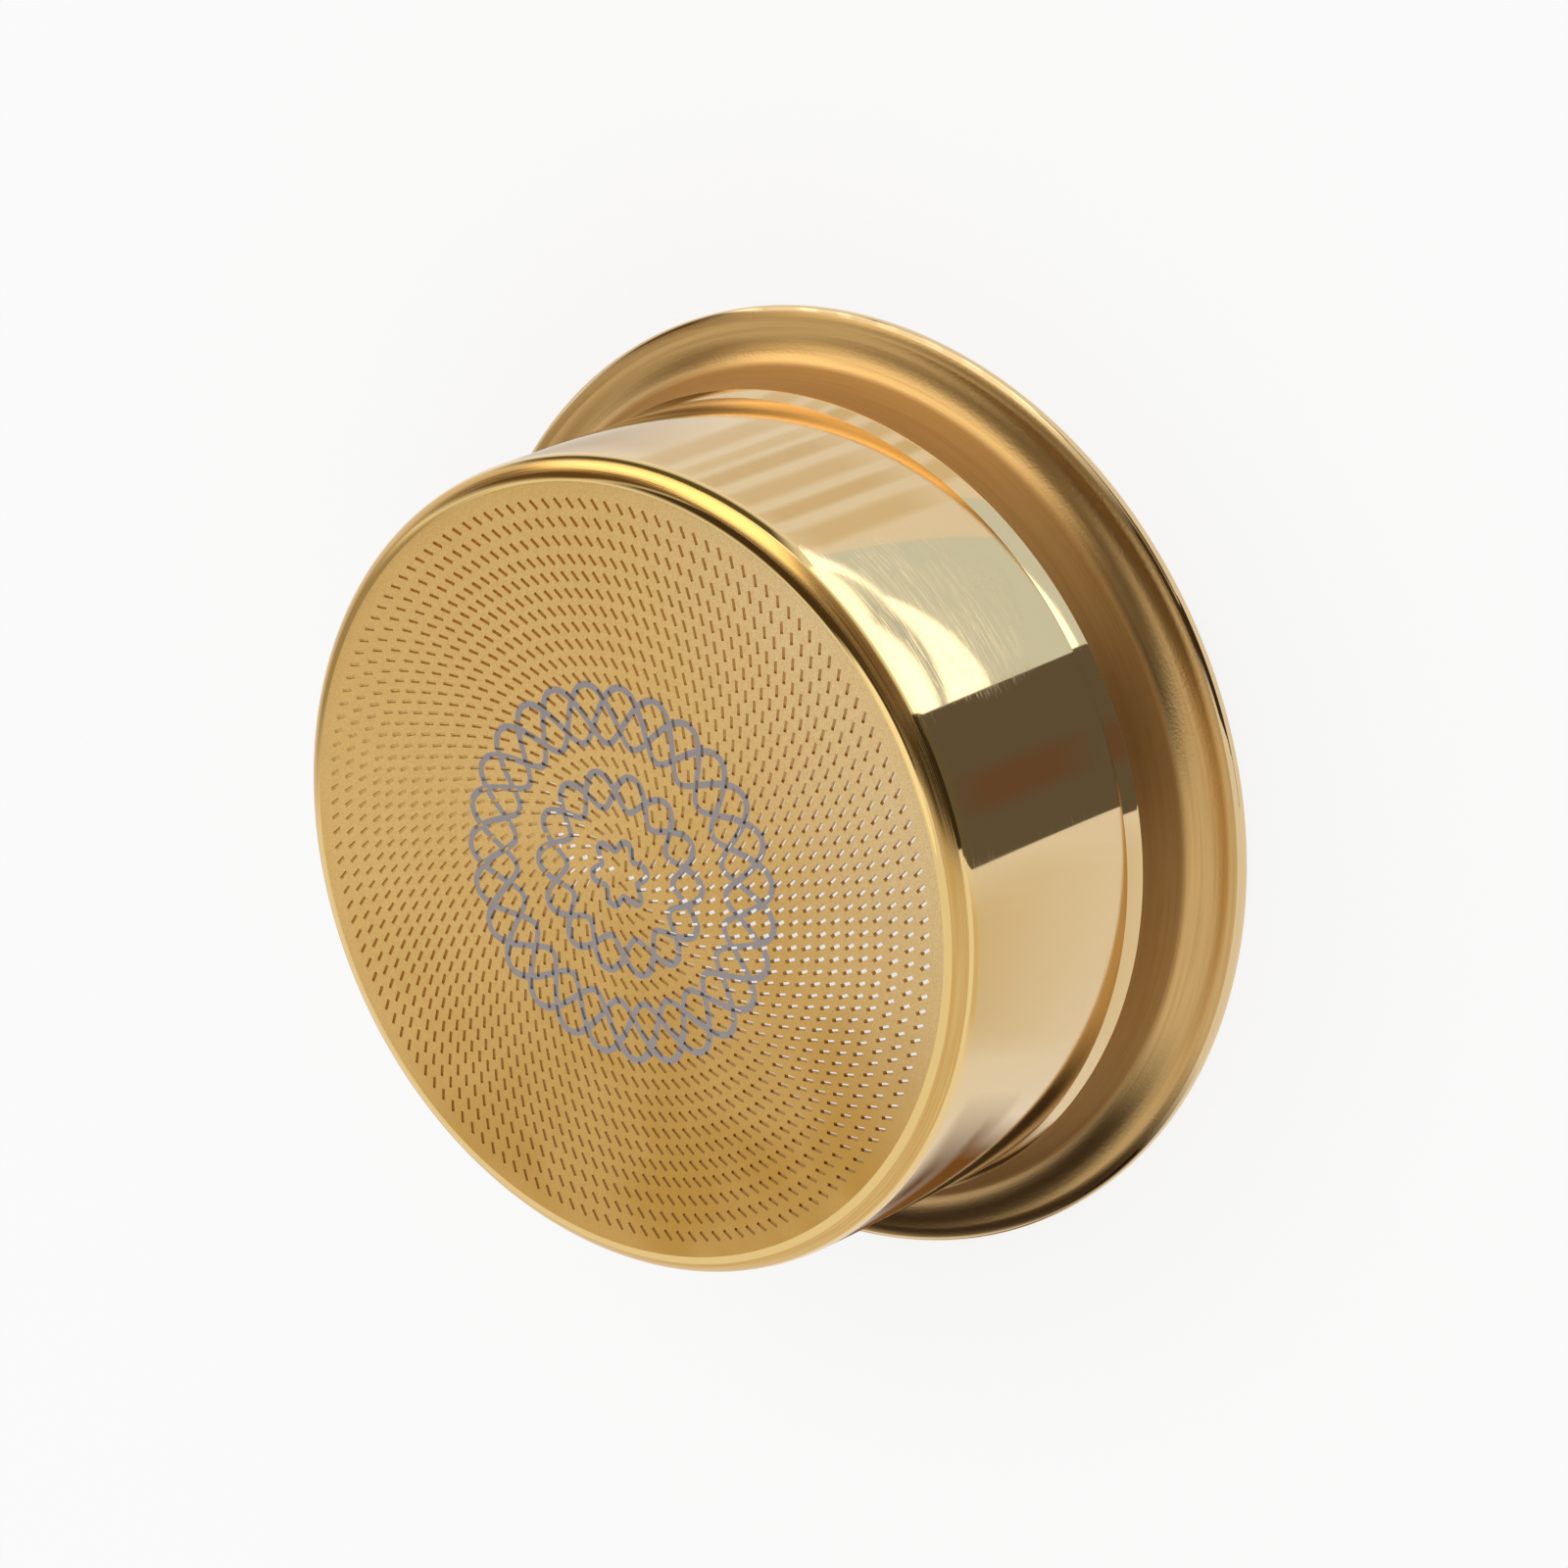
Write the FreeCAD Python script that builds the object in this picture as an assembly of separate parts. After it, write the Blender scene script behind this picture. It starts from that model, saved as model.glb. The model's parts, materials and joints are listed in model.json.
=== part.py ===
"""Espresso filter basket for a 58 mm class handle, turned from one blank and coated.

The basket stands mouth down. The origin is the centre of the mouth's rim plane, and +Z runs along
the axis towards the perforated base. All sizes are in millimetres and degrees.
"""
import FreeCAD, Part
import math
import os

# Cup
height = 26.0
bore_radius = 29.2
wall = 0.7
draft = 0.5
base_thickness = 0.4
outer_corner = 1.9
inner_chamfer = 1.1
mouth_chamfer = 0.3

# Rim: a thin flange with a sloped shoulder and a short straight lip
rim_radius = 35.25
lip_height = 0.55
lip_chamfer = 0.15
flange_thickness = 0.9
shoulder_width = 0.8

# Neck: a cove runs from the flange up to a raised collar that centres the basket in the handle
cove_radius = 4.2
collar_step = 0.35
collar_height = 1.9
collar_chamfer = 0.15

# Slots of the real base: one row of rings with a constant arc between slots, then outer rings that
# keep the count of the last of them
slot_length = 0.88
slot_width = 0.25
slot_tilt = 37.0
slot_arc = 0.947
inner_rings = 19
outer_rings = 3
outer_ring_pitch = 1.33
slots_added_per_ring = 8
slots_short_of_centre = 2
ring_stagger = -1 / 3

# The pattern is drawn this many times coarser than the real one, with rings and slots that many
# times further apart, and each slot that many times longer and wider. A value of 1 is the real one
coarseness = 2.5

neck_radius = bore_radius + wall
collar_radius = neck_radius + collar_step
cove_top = flange_thickness + cove_radius
collar_top = cove_top + collar_height
cut_allowance = 1.0


def point(radius, z):
    """A point of the section, which lies in the XZ plane."""
    return FreeCAD.Vector(radius, 0, z)


def line(start, end):
    return Part.LineSegment(start, end).toShape()


def arc(centre, radius, start_angle, end_angle):
    """An arc of the section, with its angles measured from +X towards +Z."""
    def on_arc(angle):
        turn = math.radians(angle)
        return centre + point(radius * math.cos(turn), radius * math.sin(turn))

    middle = (start_angle + end_angle) / 2
    return Part.Arc(on_arc(start_angle), on_arc(middle), on_arc(end_angle)).toShape()


def lines(*points):
    """A chain of straight edges through the points. A point that repeats the last one is left out."""
    edges = []
    for start, end in zip(points, points[1:]):
        if start.distanceToPoint(end) > Part.Precision.confusion():
            edges.append(line(start, end))
    return edges


def rim_section():
    """The lip and the shoulder, from the mouth's face to the start of the cove."""
    return lines(
        point(bore_radius + mouth_chamfer, 0),
        point(rim_radius - lip_chamfer, 0),
        point(rim_radius, lip_chamfer),
        point(rim_radius, lip_height),
        point(rim_radius - shoulder_width, flange_thickness),
        point(collar_radius + cove_radius, flange_thickness),
    )


def neck_section():
    """The cove and the collar, up to the foot of the wall."""
    cove_centre = point(collar_radius + cove_radius, cove_top)
    collar = lines(
        point(collar_radius, cove_top),
        point(collar_radius, collar_top - collar_chamfer),
        point(collar_radius - collar_chamfer, collar_top),
        point(neck_radius, collar_top),
    )
    return [arc(cove_centre, cove_radius, 270, 180)] + collar


def wall_section():
    """The drafted outer wall and its rounded corner, up to the flat of the base."""
    slope = math.radians(draft)
    corner_z = height - outer_corner
    wall_radius = neck_radius - (corner_z - collar_top) * math.tan(slope)
    corner_centre = point(wall_radius - outer_corner / math.cos(slope), corner_z)
    corner = arc(corner_centre, outer_corner, draft, 90)
    corner_start, corner_end = [vertex.Point for vertex in corner.Vertexes]
    foot = point(neck_radius, collar_top)
    return [line(foot, corner_start), corner, line(corner_end, point(0, height))]


def inside_section():
    """The base's thickness at the axis, the straight bore and its two chamfers, down to the mouth."""
    floor_z = height - base_thickness
    return lines(
        point(0, height),
        point(0, floor_z),
        point(bore_radius - inner_chamfer, floor_z),
        point(bore_radius, floor_z - inner_chamfer),
        point(bore_radius, mouth_chamfer),
        point(bore_radius + mouth_chamfer, 0),
    )


def turned_blank():
    """The whole section revolved about the axis, before the slots are cut."""
    edges = rim_section() + neck_section() + wall_section() + inside_section()
    section = Part.Face(Part.Wire(edges))
    return section.revolve(FreeCAD.Vector(0, 0, 0), FreeCAD.Vector(0, 0, 1), 360)


def ring_radius(ring):
    """The radius of a ring of the real pattern, counted from the centre."""
    inner_ring = min(ring, inner_rings)
    slots = slots_added_per_ring * inner_ring - slots_short_of_centre
    return slot_arc * slots / (2 * math.pi) + (ring - inner_ring) * outer_ring_pitch


def ring_slots(ring):
    """The number of slots drawn in a ring."""
    slots = slots_added_per_ring * min(ring, inner_rings) - slots_short_of_centre
    return round(slots / coarseness)


def slot_cutter():
    """A bar through the base at the origin, with its length along X."""
    length = slot_length * coarseness
    width = slot_width * coarseness
    depth = base_thickness + 2 * cut_allowance
    corner = FreeCAD.Vector(-length / 2, -width / 2, height - base_thickness - cut_allowance)
    return Part.makeBox(length, width, depth, corner)


def slot_cutters():
    """All slots, from the outer ring inwards. Each is turned by the tilt, and a ring by the stagger."""
    axis = FreeCAD.Vector(0, 0, 1)
    cutter = slot_cutter()
    cutters = []
    ring_count = inner_rings + outer_rings
    for step in range(math.ceil((ring_count - 1) / coarseness)):
        ring = ring_count - coarseness * step
        radius = ring_radius(ring)
        slots = ring_slots(ring)
        for number in range(slots):
            around = 360 * (number + ring_stagger * ring) / slots
            slot = cutter.copy()
            slot.rotate(FreeCAD.Vector(0, 0, 0), axis, slot_tilt)
            slot.translate(FreeCAD.Vector(radius, 0, 0))
            slot.rotate(FreeCAD.Vector(0, 0, 0), axis, around)
            cutters.append(slot)
    return cutters


basket = turned_blank().cut(slot_cutters())
os.makedirs("parts", exist_ok=True)
basket.exportStep("parts/filter_basket.step")
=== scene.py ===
"""An espresso filter basket that stands mouth down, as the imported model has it, in metres."""
import json
import math

import bmesh
import bpy
from mathutils import Matrix, Vector


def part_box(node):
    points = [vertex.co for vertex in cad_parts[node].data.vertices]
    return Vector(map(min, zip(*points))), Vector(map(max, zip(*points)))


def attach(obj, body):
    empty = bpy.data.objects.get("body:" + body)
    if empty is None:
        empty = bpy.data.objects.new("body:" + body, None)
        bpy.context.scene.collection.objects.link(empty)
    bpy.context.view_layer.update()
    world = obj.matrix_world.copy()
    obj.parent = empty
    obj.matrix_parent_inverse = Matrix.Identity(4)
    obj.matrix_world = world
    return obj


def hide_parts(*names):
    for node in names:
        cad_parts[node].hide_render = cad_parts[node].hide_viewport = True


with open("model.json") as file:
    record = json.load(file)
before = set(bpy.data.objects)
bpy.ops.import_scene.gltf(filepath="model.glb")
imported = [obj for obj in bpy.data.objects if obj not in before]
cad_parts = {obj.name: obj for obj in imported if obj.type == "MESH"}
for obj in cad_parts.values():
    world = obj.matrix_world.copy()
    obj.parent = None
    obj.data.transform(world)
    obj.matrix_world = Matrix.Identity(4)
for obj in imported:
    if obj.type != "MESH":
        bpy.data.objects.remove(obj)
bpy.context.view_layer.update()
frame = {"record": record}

# Basket
# The real basket is turned from one stainless blank: a thin cup with a rounded base corner, a raised
# collar that centres it in the handle, and a coved flange. Its section is drawn and spun here.
mm = 0.001
mounts = {mount["name"]: mount["dims"] for mount in frame["record"]["mounts"]}
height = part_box("filter_basket")[1].z
rim_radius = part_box("filter_basket")[1].x
bore_radius = mounts["bore"]["r_mm"] * mm
collar_radius = mounts["collar"]["r_mm"] * mm
collar_step = 0.35 * mm
neck_radius = collar_radius - collar_step
collar_top = 6.9 * mm
collar_foot = 5.6 * mm
draft = math.radians(0.5)
base_thickness = 0.4 * mm
flange_thickness = 0.9 * mm
cove_radius = 3.8 * mm
shoulder_radius = 34.6 * mm
lip_height = 0.5 * mm
base_round = 1.9 * mm
mouth_chamfer = 0.3 * mm
turned_steps = 288
same_place = mm / 100
weld_distance = mm / 200
smooth_angle = math.radians(12)
taper = (height - collar_top) * math.tan(draft)

# Each point of the section, with the radius and the steps of its round. A radius of 0 keeps it sharp.
section = [
    (0, height - base_thickness, 0, 0),
    (bore_radius, height - base_thickness, 1.1 * mm, 12),
    (bore_radius, mouth_chamfer, 0, 0),
    (bore_radius + mouth_chamfer, 0, 0, 0),
    (rim_radius, 0, 0.08 * mm, 2),
    (rim_radius, lip_height, 0.15 * mm, 4),
    (shoulder_radius, flange_thickness, 0.5 * mm, 12),
    (collar_radius, flange_thickness, cove_radius, 28),
    (collar_radius, collar_foot, 0.1 * mm, 4),
    (neck_radius, collar_top, 0, 0),
    (neck_radius - taper, height, base_round, 20),
    (0, height, 0, 0),
]


def select_points(mesh, wanted):
    """Selects only the points of a mesh in edit mode whose place passes the test."""
    bpy.ops.mesh.select_all(action="DESELECT")
    edited = bmesh.from_edit_mesh(mesh)
    for point in edited.verts:
        point.select = wanted(point.co)
    edited.select_flush(True)
    edited.select_flush(False)
    bmesh.update_edit_mesh(mesh)


def new_point(name):
    """Starts a piece as a single point at the origin and leaves it in edit mode."""
    bpy.ops.object.select_all(action="DESELECT")
    bpy.ops.mesh.primitive_plane_add(size=mm)
    piece = bpy.context.object
    piece.name = name
    bpy.ops.object.mode_set(mode="EDIT")
    bpy.ops.mesh.merge(type="CENTER")
    return piece


basket = new_point("turned_basket")
bpy.ops.transform.translate(value=(section[0][0], 0, section[0][1]))
for start, end in zip(section, section[1:]):
    step = (end[0] - start[0], 0, end[1] - start[1])
    bpy.ops.mesh.extrude_region_move(TRANSFORM_OT_translate={"value": step})
for radius, z, corner, steps in section:
    if not corner:
        continue
    place = Vector((radius, 0, z))
    select_points(basket.data, lambda point: (point - place).length < same_place)
    bpy.ops.mesh.bevel(offset=corner, segments=steps, affect="VERTICES", clamp_overlap=False)
bpy.ops.mesh.select_all(action="SELECT")
bpy.ops.mesh.spin(steps=turned_steps, angle=2 * math.pi, center=(0, 0, 0), axis=(0, 0, 1))
bpy.ops.mesh.select_all(action="SELECT")
bpy.ops.mesh.remove_doubles(threshold=weld_distance)
bpy.ops.mesh.normals_make_consistent(inside=False)
for floor_z in (height, height - base_thickness):
    select_points(basket.data, lambda point: abs(point.z - floor_z) < same_place)
    bpy.ops.mesh.dissolve_faces()
bpy.ops.object.mode_set(mode="OBJECT")

# Slots
# Fine slots are cut through the thin base by laser. They all lean the same way, in rings with a
# constant arc between slots, and the three outer rings keep the count of the last of these.
slot_length = 0.88 * mm
slot_width = 0.25 * mm
slot_round = 0.49 * slot_width
cutter_height = 3 * base_thickness
slot_tilt = math.radians(37)
slot_arc = 0.947 * mm
inner_rings = 19
outer_rings = 3
outer_ring_pitch = 1.33 * mm
slots_added_per_ring = 8
slots_short_of_centre = 2
ring_stagger = -1 / 3
outer_stagger = 0.15
first_stagger = 0.18
pattern_turn = math.radians(0.675)


def turn_selected(angle, centre):
    """Turns what is selected about an upright axis. With no window the operator turns the other way."""
    bpy.ops.transform.rotate(value=-angle, orient_axis="Z", center_override=centre)


cutters = []
for ring in range(1, inner_rings + outer_rings + 1):
    inner_ring = min(ring, inner_rings)
    slots = slots_added_per_ring * inner_ring - slots_short_of_centre
    radius = slot_arc * slots / (2 * math.pi) + (ring - inner_ring) * outer_ring_pitch
    stagger = first_stagger + ring_stagger * inner_ring + outer_stagger * (ring - inner_ring)
    turn = 2 * math.pi / slots
    bpy.ops.object.select_all(action="DESELECT")
    bpy.ops.mesh.primitive_cube_add(size=1)
    cutter = bpy.context.object
    bpy.ops.object.mode_set(mode="EDIT")
    bpy.ops.transform.resize(value=(slot_length, slot_width, cutter_height))
    bpy.ops.transform.translate(value=(radius, 0, height - base_thickness / 2))
    edited = bmesh.from_edit_mesh(cutter.data)
    for edge in edited.edges:
        edge.select = abs(edge.verts[0].co.z - edge.verts[1].co.z) > base_thickness
    bmesh.update_edit_mesh(cutter.data)
    bpy.ops.mesh.bevel(offset=slot_round, segments=2, affect="EDGES")
    bpy.ops.mesh.select_all(action="SELECT")
    turn_selected(slot_tilt, (radius, 0, height))
    turn_selected(turn * stagger + pattern_turn, (0, 0, height))
    bpy.ops.mesh.spin(
        steps=slots - 1,
        angle=turn * (slots - 1),
        center=(0, 0, 0),
        axis=(0, 0, 1),
        dupli=True,
    )
    bpy.ops.object.mode_set(mode="OBJECT")
    cutters.append(cutter)

# Coating
# The steel is coated with gold-coloured nitride in a vacuum. Where the steel below was polished it
# shines like a mirror, and where it was blasted it is matt with a fine grain.


def rgb(hex_colour):
    """A linear colour, with its alpha, from an sRGB hex value."""
    channels = [int(hex_colour[start : start + 2], 16) / 255 for start in (1, 3, 5)]
    linear = [c / 12.92 if c <= 0.04045 else ((c + 0.055) / 1.055) ** 2.4 for c in channels]
    return (*linear, 1)


def add_node(material, kind, inputs=None, **settings):
    """Adds a node. An input's value is a number, a colour or another node's output."""
    node = material.node_tree.nodes.new(kind)
    for name, value in settings.items():
        setattr(node, name, value)
    for name, value in (inputs or {}).items():
        if isinstance(value, bpy.types.NodeSocket):
            material.node_tree.links.new(value, node.inputs[name])
        else:
            node.inputs[name].default_value = value
    return node


def maths(material, operation, *values):
    """What an operation makes of its values, each a number or another node's output."""
    return add_node(material, "ShaderNodeMath", dict(enumerate(values)), operation=operation).outputs[0]


def new_material(name):
    """A material with no nodes in it yet."""
    material = bpy.data.materials.new(name)
    material.use_nodes = True
    material.node_tree.nodes.clear()
    return material


def around(material):
    """A place on the basket as x, y and z, and its distance from the axis as radius, in metres."""
    place = add_node(material, "ShaderNodeTexCoord").outputs["Object"]
    axes = add_node(material, "ShaderNodeSeparateXYZ", {0: place})
    flat = add_node(material, "ShaderNodeCombineXYZ", {"X": axes.outputs["X"], "Y": axes.outputs["Y"]})
    from_axis = add_node(material, "ShaderNodeVectorMath", {0: flat.outputs[0]}, operation="LENGTH")
    return {
        "x": axes.outputs["X"],
        "y": axes.outputs["Y"],
        "z": axes.outputs["Z"],
        "radius": from_axis.outputs["Value"],
    }


def ring_noise(material, length, width, detail):
    """Noise drawn out round the axis, for lines of a length and a width that a lathe or a mop leaves."""
    place = around(material)
    across = maths(material, "SUBTRACT", place["z"], place["radius"])
    scaled = add_node(
        material,
        "ShaderNodeCombineXYZ",
        {
            "X": maths(material, "DIVIDE", place["x"], length),
            "Y": maths(material, "DIVIDE", place["y"], length),
            "Z": maths(material, "DIVIDE", across, width),
        },
    )
    noise = add_node(
        material,
        "ShaderNodeTexNoise",
        {"Vector": scaled.outputs[0], "Scale": 1, "Detail": detail, "Roughness": 0.6},
    )
    return noise.outputs["Fac"]


def grain_noise(material, size, detail):
    """Even noise with grains of about the given size."""
    place = add_node(material, "ShaderNodeTexCoord").outputs["Object"]
    noise = add_node(
        material,
        "ShaderNodeTexNoise",
        {"Vector": place, "Scale": 1 / size, "Detail": detail, "Roughness": 0.55},
    )
    return noise.outputs["Fac"]


def spread(material, value, low, high, to_low, to_high):
    """A value's range from low to high carried over to another range, and held at its ends."""
    ranged = add_node(
        material,
        "ShaderNodeMapRange",
        {0: value, 1: low, 2: high, 3: to_low, 4: to_high},
        interpolation_type="SMOOTHSTEP",
    )
    return ranged.outputs[0]


def blend(material, share, first, second):
    """A colour between two, by a share from 0 to 1. Each is a hex value or another node's output."""
    colours = [rgb(colour) if isinstance(colour, str) else colour for colour in (first, second)]
    mixed = add_node(material, "ShaderNodeMix", {0: share, 6: colours[0], 7: colours[1]}, data_type="RGBA")
    return mixed.outputs[2]


def finish(material, colour, roughness, height_map, depth):
    """The coating's shader. A metal keeps the usual index of refraction."""
    bump = add_node(
        material, "ShaderNodeBump", {"Height": height_map, "Strength": 1, "Distance": depth}
    )
    shader = add_node(
        material,
        "ShaderNodeBsdfPrincipled",
        {
            "Base Color": colour,
            "Metallic": 1,
            "Roughness": roughness,
            "Normal": bump.outputs["Normal"],
        },
    )
    add_node(material, "ShaderNodeOutputMaterial", {"Surface": shader.outputs["BSDF"]})
    return material


# The wall has one worn place, with short scratches from the handle's spring.
worn_place = (8.2 * mm, -28.5 * mm, 16 * mm)


def polished_coating():
    """Mop-polished nitride coating: a mirror with faint lines round the axis, warmer at the corner."""
    material = new_material("polished_nitride_coating")
    corner_share = spread(material, around(material)["z"], height - 2.6 * mm, height - 0.6 * mm, 0, 1)
    tone = blend(material, corner_share, "#E2C799", "#EDCC88")
    lines = ring_noise(material, 9 * mm, 0.07 * mm, 2)
    scratches = ring_noise(material, 4 * mm, 0.045 * mm, 1)
    place = add_node(material, "ShaderNodeTexCoord").outputs["Object"]
    from_worn = {0: place, 1: worn_place}
    from_worn = add_node(material, "ShaderNodeVectorMath", from_worn, operation="DISTANCE")
    worn = spread(material, from_worn.outputs["Value"], 4 * mm, 9 * mm, 1, 0)
    deepest = spread(material, scratches, 0.6, 0.7, 0, 3.5)
    cuts = maths(material, "MULTIPLY_ADD", deepest, worn, lines)
    patches = grain_noise(material, 7 * mm, 2)
    rubbed_lines = spread(material, lines, 0.56, 0.74, 0, 1)
    rubbed_patches = spread(material, patches, 0.42, 0.62, 0.15, 1)
    scuffs = maths(material, "MULTIPLY", rubbed_lines, rubbed_patches)
    roughness = spread(material, scuffs, 0, 1, 0.045, 0.2)
    return finish(material, tone, roughness, cuts, 0.0006 * mm)


# The base's marking is burnt through the coating to the grey steel, as lines that weave about rings.
# Each is a ring's radius, how far its lines swing, how many waves they have, and how many lines it has.
marked_rings = [(11.6 * mm, 2.1 * mm, 9, 3), (6.1 * mm, 1.3 * mm, 7, 2), (2.1 * mm, 0.4 * mm, 6, 1)]
marked_width = 0.5 * mm


def marking(material):
    """The share of grey steel that shows on the base, from 0 to 1."""
    place = around(material)
    angle = maths(material, "ARCTAN2", place["y"], place["x"])
    nearest = height
    for mid_radius, swing, waves, strands in marked_rings:
        steepness = swing * waves / mid_radius
        for strand in range(strands):
            phase = maths(material, "MULTIPLY_ADD", angle, waves, 2 * math.pi * strand / strands)
            wave = maths(material, "SINE", phase)
            line = maths(material, "MULTIPLY_ADD", wave, -swing, -mid_radius)
            apart = maths(material, "ADD", line, place["radius"])
            slope = maths(material, "MULTIPLY", maths(material, "COSINE", phase), steepness)
            stretch = maths(material, "ADD", maths(material, "POWER", slope, 2), 1)
            across = maths(material, "DIVIDE", apart, maths(material, "SQRT", stretch))
            across = maths(material, "ABSOLUTE", across)
            nearest = maths(material, "MINIMUM", nearest, across)
    return spread(material, nearest, marked_width * 0.4, marked_width * 0.6, 1, 0)


def blasted_coating():
    """Coating over fine glass-bead blasting: matt, with grains of about 0.1 mm, and painted shade and
    light across the base.
    """
    material = new_material("blasted_nitride_coating")
    place = around(material)
    fine = grain_noise(material, 0.11 * mm, 3)
    broad = grain_noise(material, 9 * mm, 2)
    # The base's colour is painted darker towards -x and lighter towards -y, as painted shade and painted
    # light.
    painted_light_tone = blend(material, spread(material, place["x"], -26 * mm, 12 * mm, 0, 1), "#C39545", "#E6C07A")
    painted_light_tone = blend(material, spread(material, place["y"], -28 * mm, -8 * mm, 0.6, 0), painted_light_tone, "#F2DCAE")
    cloudy = blend(material, spread(material, broad, 0.35, 0.65, 0, 0.3), painted_light_tone, "#EAC684")
    grained = blend(material, spread(material, fine, 0.4, 0.7, 0, 0.35), cloudy, "#C99B55")
    marked = blend(material, marking(material), grained, "#A29B9A")
    roughness = spread(material, fine, 0.3, 0.7, 0.38, 0.5)
    return finish(material, marked, roughness, fine, 0.006 * mm)


def satin_coating():
    """Coating over coarser blasting: silky, with grains of about 0.2 mm, and painted darker in the cove as
    shade.
    """
    material = new_material("satin_nitride_coating")
    radius = around(material)["radius"]
    grain = grain_noise(material, 0.22 * mm, 3)
    lathe = ring_noise(material, 14 * mm, 0.3 * mm, 2)
    # The cove's throat is painted darker than the flange outside it, as painted shade in the hollow. It is
    # rougher there too.
    throat_shade_and_gloss = spread(material, radius, collar_radius + 0.8 * mm, collar_radius + 1.5 * mm, 0, 1)
    tone = blend(material, throat_shade_and_gloss, "#AE8650", "#D2AC70")
    worn = blend(material, spread(material, lathe, 0.4, 0.7, 0, 0.2), tone, "#8E5E24")
    roughness = spread(material, throat_shade_and_gloss, 0, 1, 0.72, 0.3)
    return finish(material, worn, roughness, grain, 0.014 * mm)


def drawn_coating():
    """Coating over the drawn inside of the cup, with the fine lines that its last cut leaves."""
    material = new_material("drawn_nitride_coating")
    lines = ring_noise(material, 12 * mm, 0.12 * mm, 3)
    tone = blend(material, spread(material, lines, 0.35, 0.7, 0, 1), "#D2A65C", "#E0BC7C")
    roughness = spread(material, lines, 0.3, 0.7, 0.2, 0.32)
    return finish(material, tone, roughness, lines, 0.003 * mm)


finishes = [polished_coating(), blasted_coating(), satin_coating(), drawn_coating()]
POLISHED, BLASTED, SATIN, DRAWN = range(len(finishes))
blasted_radius = 28.2 * mm
blasted_depth = 0.5 * mm
satin_top = collar_foot - 0.05 * mm
polished_lip_radius = 34.9 * mm
for coating in finishes:
    basket.data.materials.append(coating)
for face in basket.data.polygons:
    centre = face.center
    radius = math.hypot(centre.x, centre.y)
    face.material_index = POLISHED
    if centre.z > height - blasted_depth and radius < blasted_radius:
        face.material_index = BLASTED
    if centre.z < satin_top and bore_radius < radius < polished_lip_radius:
        face.material_index = SATIN
    if centre.z < height - base_thickness / 2 and radius < bore_radius + mouth_chamfer:
        face.material_index = DRAWN
for cutter in cutters:
    for coating in finishes:
        cutter.data.materials.append(coating)
    for face in cutter.data.polygons:
        face.material_index = BLASTED

bpy.ops.object.select_all(action="DESELECT")
for cutter in cutters:
    cutter.select_set(True)
bpy.context.view_layer.objects.active = cutters[0]
bpy.ops.object.join()
slot_cutters = bpy.context.object
slots_cut = basket.modifiers.new("slots", "BOOLEAN")
slots_cut.object = slot_cutters
slots_cut.operation = "DIFFERENCE"
slots_cut.solver = "MANIFOLD"
bpy.ops.object.select_all(action="DESELECT")
basket.select_set(True)
bpy.context.view_layer.objects.active = basket
bpy.ops.object.modifier_apply(modifier=slots_cut.name)
bpy.data.objects.remove(slot_cutters)
bpy.ops.object.shade_smooth_by_angle(angle=smooth_angle)

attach(basket, "root")
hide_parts("filter_basket")

# Floor
# A plain white floor just below the mouth. The camera, gloss and glass see it near white, and it
# keeps the basket's soft shadow.
floor_size = 3.0
floor_drop = 0.02 * mm
white_share = 0.75
bpy.ops.object.select_all(action="DESELECT")
bpy.ops.mesh.primitive_plane_add(size=floor_size, location=(0, 0, -floor_drop))
floor = bpy.context.object
floor.name = "floor"
pale = new_material("pale_floor")
path = add_node(pale, "ShaderNodeLightPath")
seen = path.outputs["Is Camera Ray"]
for ray in ("Is Glossy Ray", "Is Transmission Ray"):
    seen = maths(pale, "MAXIMUM", seen, path.outputs[ray])
share = maths(pale, "MULTIPLY", seen, white_share)
diffuse = add_node(pale, "ShaderNodeBsdfDiffuse", {"Color": rgb("#F8F8F8")})
white = add_node(pale, "ShaderNodeEmission", {"Color": (1, 1, 1, 1), "Strength": 1.0})
mixed = add_node(
    pale,
    "ShaderNodeMixShader",
    {0: share, 1: diffuse.outputs[0], 2: white.outputs[0]},
)
add_node(pale, "ShaderNodeOutputMaterial", {"Surface": mixed.outputs[0]})
floor.data.materials.append(pale)

# Studio cards
# Softboxes and dark flags stand about the basket, and mats lie beside it. Only the metal's
# reflections see them. A card's edges fade out over the share of its half width that soft gives.
card_rows = 8
degrees_per_column = 3


def glow(sheet, colour, strength, fades=False):
    """Makes a sheet shine on glossy surfaces alone."""
    material = new_material(sheet.name)
    light = add_node(material, "ShaderNodeEmission", {"Color": rgb(colour), "Strength": strength})
    surface = light.outputs[0]
    if fades:
        clear = add_node(material, "ShaderNodeBsdfTransparent")
        inner = add_node(material, "ShaderNodeAttribute", attribute_name="inner")
        surface = add_node(
            material,
            "ShaderNodeMixShader",
            {0: inner.outputs["Fac"], 1: clear.outputs[0], 2: light.outputs[0]},
        ).outputs[0]
    add_node(material, "ShaderNodeOutputMaterial", {"Surface": surface})
    sheet.data.materials.append(material)
    sheet.visible_camera = False
    sheet.visible_diffuse = False
    sheet.visible_shadow = False
    sheet.visible_transmission = False


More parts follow.
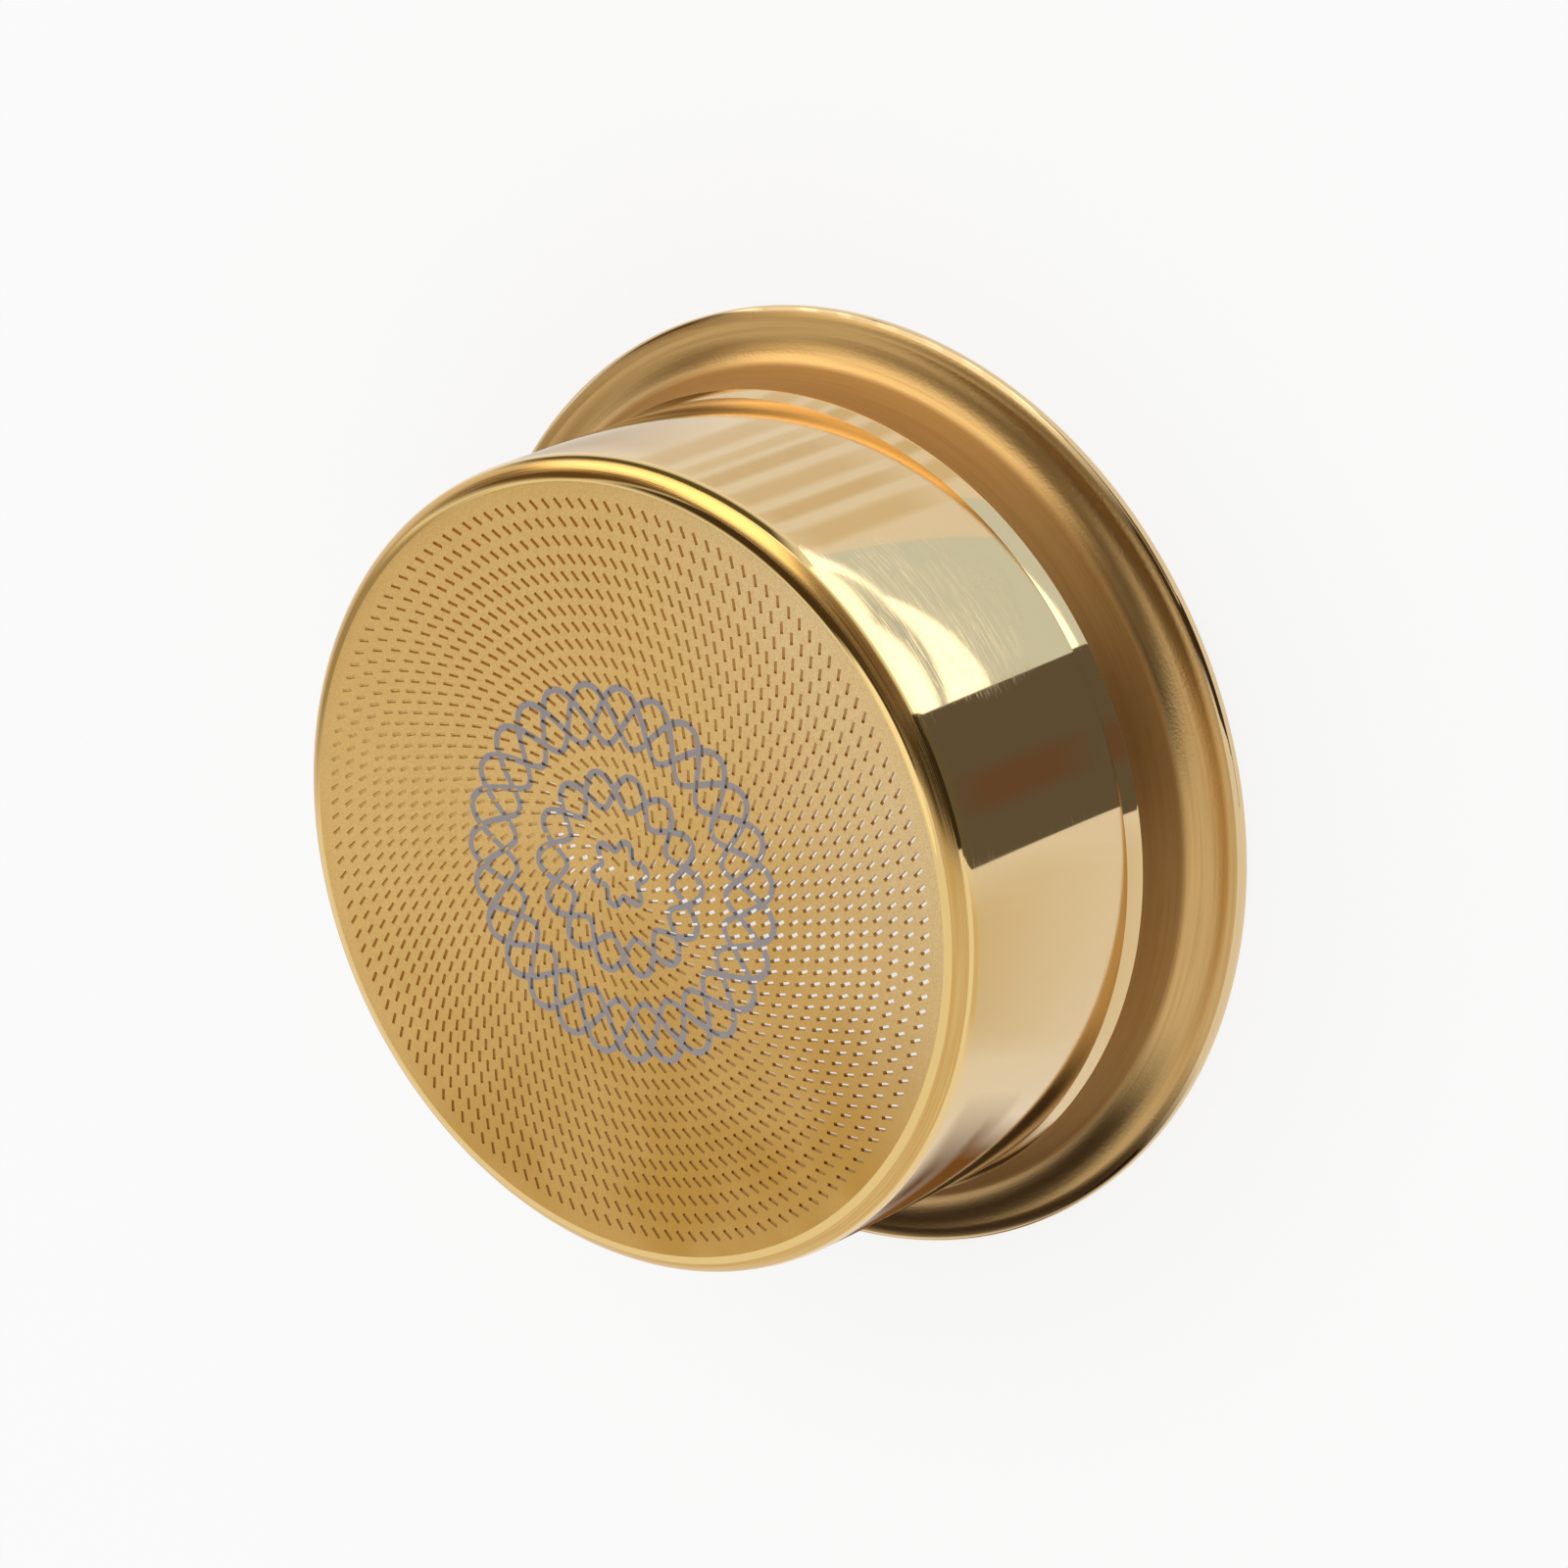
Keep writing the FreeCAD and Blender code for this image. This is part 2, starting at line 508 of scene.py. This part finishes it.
def card(name, first, last, start, end, colour, strength, soft=0):
    """A sheet between two points in mm, each a radius and a height, spun from one angle to another."""
    sheet = new_point(name)
    turned = Matrix.Rotation(math.radians(start), 3, "Z")
    bpy.ops.transform.translate(value=turned @ Vector((first[0], 0, first[1])) * mm)
    step = turned @ Vector((last[0] - first[0], 0, last[1] - first[1])) * mm / card_rows
    for row in range(card_rows):
        bpy.ops.mesh.extrude_region_move(TRANSFORM_OT_translate={"value": step})
    bpy.ops.mesh.select_all(action="SELECT")
    columns = max(card_rows, round(abs(end - start) / degrees_per_column))
    bpy.ops.mesh.spin(
        steps=columns,
        angle=math.radians(start - end),
        center=(0, 0, 0),
        axis=(0, 0, 1),
    )
    bpy.ops.object.mode_set(mode="OBJECT")
    if soft:
        inner = sheet.data.attributes.new("inner", "FLOAT", "POINT")
        span = Vector((last[0] - first[0], last[1] - first[1]))
        for number, point in enumerate(sheet.data.vertices):
            from_first = Vector((point.co.xy.length / mm - first[0], point.co.z / mm - first[1]))
            across = from_first.dot(span) / span.length_squared
            along = (math.degrees(math.atan2(point.co.y, point.co.x)) - start) % 360 / (end - start)
            edge = min(across, 1 - across, along, 1 - along)
            inner.data[number].value = min(1, max(0, 2 * edge / soft))
    glow(sheet, colour, strength, soft > 0)


def mat(name, corners, lift, colour, strength, fades=False):
    """A flat sheet over the floor, with its corners and lift in mm. Some fade out over a quarter."""
    sheet = new_point(name)
    bpy.ops.transform.translate(value=Vector((*corners[0], lift)) * mm)
    for start, end in zip(corners, corners[1:]):
        step = Vector((end[0] - start[0], end[1] - start[1], 0)) * mm
        bpy.ops.mesh.extrude_region_move(TRANSFORM_OT_translate={"value": step})
    bpy.ops.mesh.select_all(action="SELECT")
    bpy.ops.mesh.edge_face_add()
    if fades:
        bpy.ops.mesh.subdivide(number_cuts=3)
        bpy.ops.mesh.select_all(action="DESELECT")
        bpy.ops.mesh.select_non_manifold()
    bpy.ops.object.mode_set(mode="OBJECT")
    if fades:
        inner = sheet.data.attributes.new("inner", "FLOAT", "POINT")
        for number, point in enumerate(sheet.data.vertices):
            inner.data[number].value = not point.select
    glow(sheet, colour, strength, fades)


dark_corners = [(2.3, -31), (-11, -31), (-22, -47), (-55, -125), (15.5, -125)]
cool_corners = [(2.3, -31), (14, -31), (33.4, -36.7), (23.3, -41.9), (4.2, -43.8)]
white_corners = [
    (4.2, -43.8),
    (23.3, -41.9),
    (33.4, -36.7),
    (36.1, -34.5),
    (50, -56),
    (171, -167),
    (24, -190),
]
fold_corners = [(4.8, -49.5), (21.5, -45.8), (31.8, -38.6), (27, -40.4), (20.4, -43.5), (4.8, -48.5)]
mat("dark_mat", dark_corners, 0.5, "#696358", 1)
mat("cool_mat", cool_corners, 0.5, "#C4D2DC", 1.38)
mat("white_mat", white_corners, 0.5, "#FFFFFF", 2.3)
mat("cool_fold", fold_corners, 0.8, "#C4D2DC", 1.2)
card("flag_upright", (120, 0.5), (150, 260), -112, -83, "#3A3226", 1)
card("flag_tent_low", (200, 25), (190, 240), -88, 50, "#6A5234", 1, 0.15)
card("flag_tent_high", (192, 228), (50, 305), -112, 48, "#4A3C2C", 1, 0.2)
card("softbox_left", (180, 12), (165, 172), -42, -2, "#FFF8EA", 2.8, 0.2)
card("softbox_right", (178, 0.5), (168, 105), -12, 24, "#FFF8EA", 2.5, 0.3)
card("overhead_softbox", (0.5, 307), (52, 307), -150, 209, "#FFFFFF", 1.15)
card("olive_card", (60, 0.5), (190, 10), -45, 28, "#605A3C", 1, 0.25)
card("side_card", (200, 0), (190, 200), 50, 80, "#A89C84", 1, 0.5)

# These lie or lean close to the flange. They darken or brighten its reflections on one side. The dark ones
# are painted shadow.
# This dark mat is painted shadow and painted reflection: the shade where the basket touches the table, and
# the flange's dark image in it.
card("painted_contact_shadow", (37, 0.5), (45, 0.5), 148, 198, "#6A4A30", 1, 0.9)
card("flange_shade", (36, 15.5), (46.5, 3.7), 118, 208, "#26160A", 1, 0.4)
card("flange_glow", (37.5, 15.2), (46.5, 5), -74, 6, "#FFFAF0", 1.4, 0.7)
# This brown spot on the floor is painted shadow, where the basket touches the table.
card("painted_shadow_spot", (34, 0.6), (40, 0.6), 140, 192, "#7A5228", 1, 0.4)
card("grey_floor", (33, 0.5), (44, 0.5), -12, 42, "#DCD4CA", 0.95, 0.8)
card("cream_floor", (34, 0.5), (110, 0.5), -155, -113.5, "#E6D8B4", 0.95, 0.6)

# Folds of a curtain show as streaks along the wall, and the last one as a warm spot in the dark part.
# Each is a place and a width on the wall in degrees, its reach over the floor in mm, and its colour.
streaks = [
    (31.5, 6, 5, 26, "#ECE2D2"),
    (37, 3, 5, 25, "#EEE6D6"),
    (41, 4, 5, 26, "#E6DAC4"),
    (46.5, 4.5, 5, 26, "#EADFCC"),
    (51.5, 3.5, 5, 25, "#E6DAC2"),
    (57, 5, 5, 24, "#EADFC8"),
    (98.5, 7, 6, 23, "#705848"),
]
wall_mm = 30
for number, (middle, width, reach_from, reach_to, colour) in enumerate(streaks):
    corners = []
    for side, reach in ((-0.5, reach_from), (-0.5, reach_to), (0.5, reach_to), (0.5, reach_from)):
        at = math.radians(middle + side * width)
        ahead = math.pi / 2 - 2 * at
        x = wall_mm * math.cos(at) + reach * math.cos(ahead)
        y = reach * math.sin(ahead) - wall_mm * math.sin(at)
        corners.append((x, y))
    mat(f"streak_{number}", corners, 0.7, colour, 1, True)

# Light
# A white room lights the basket evenly from all sides, so its shadow on the floor is soft.
room_light = 0.9
world = bpy.data.worlds.new("studio")
bpy.context.scene.world = world
world.use_nodes = True
world.node_tree.nodes["Background"].inputs["Color"].default_value = (1, 1, 1, 1)
world.node_tree.nodes["Background"].inputs["Strength"].default_value = room_light

# Camera
# It looks down at the standing basket, and is rolled so that the basket lies on its side in the view.
view_target = Vector((1.38, -9.73, 17.33)) * mm
view_distance = 431.6 * mm
view_elevation = math.radians(48.32)
view_roll = math.radians(-112.68)
lens = 141.75
back = Vector((0, -math.cos(view_elevation), math.sin(view_elevation)))
camera_data = bpy.data.cameras.new("camera")
camera = bpy.data.objects.new("camera", camera_data)
bpy.context.scene.collection.objects.link(camera)
camera_data.lens = lens
camera_data.sensor_width = 36
camera_data.clip_start = 0.01
facing = (-back).to_track_quat("-Z", "Y").to_matrix().to_4x4()
rolled = Matrix.Rotation(view_roll, 4, "Z")
camera.matrix_world = Matrix.Translation(view_target + back * view_distance) @ facing @ rolled
bpy.context.scene.camera = camera
bpy.context.scene.view_settings.view_transform = "Standard"
